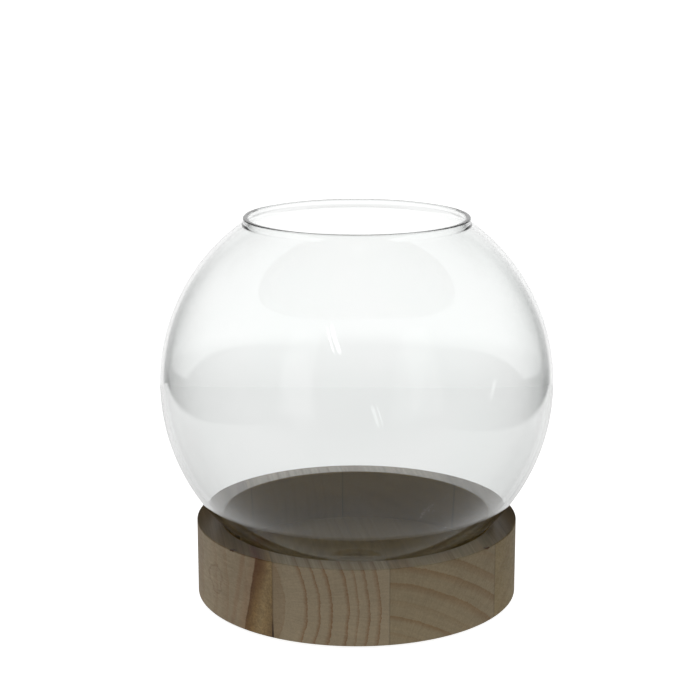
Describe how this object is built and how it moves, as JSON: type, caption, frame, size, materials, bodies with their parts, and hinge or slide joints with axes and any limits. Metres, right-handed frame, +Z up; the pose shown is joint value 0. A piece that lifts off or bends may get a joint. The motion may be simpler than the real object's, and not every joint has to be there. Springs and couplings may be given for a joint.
{
  "type": "storm glass",
  "caption": "Blown clear-glass globe with an open rounded mouth, resting loose in the round seat of a turned, edge-glued wooden disc base on felt pads.",
  "frame": {"origin": "centre of the plane that the felt pads stand on, on the axis of the turned base and the globe", "axes": "+Z up along the axis of the base and the globe; +Y along the boards of the base, so its end grain faces -Y and +Y; +X across the boards, towards the narrowest stave"},
  "size_m": [0.2, 0.2, 0.1972],
  "materials": {
    "clear_glass": "clear, smooth, fire-polished",
    "pale_wood": "bare, finely sanded, end grain at the front and back",
    "grey_felt": "pressed felt"
  },
  "bodies": {
    "base": {"base_stave_left_edge": "pale_wood", "base_stave_left": "pale_wood", "base_stave_right": "pale_wood", "base_stave_right_edge": "pale_wood", "felt_pad_front_right": "grey_felt", "felt_pad_back_right": "grey_felt", "felt_pad_back_left": "grey_felt", "felt_pad_front_left": "grey_felt"},
    "globe": {"glass_globe": "clear_glass"}
  },
  "joints": [
    {"name": "globe_lift", "type": "slide", "parent": "base", "child": "globe", "axis": [0, 0, 1], "range_m": [0, 0.06]}
  ]
}
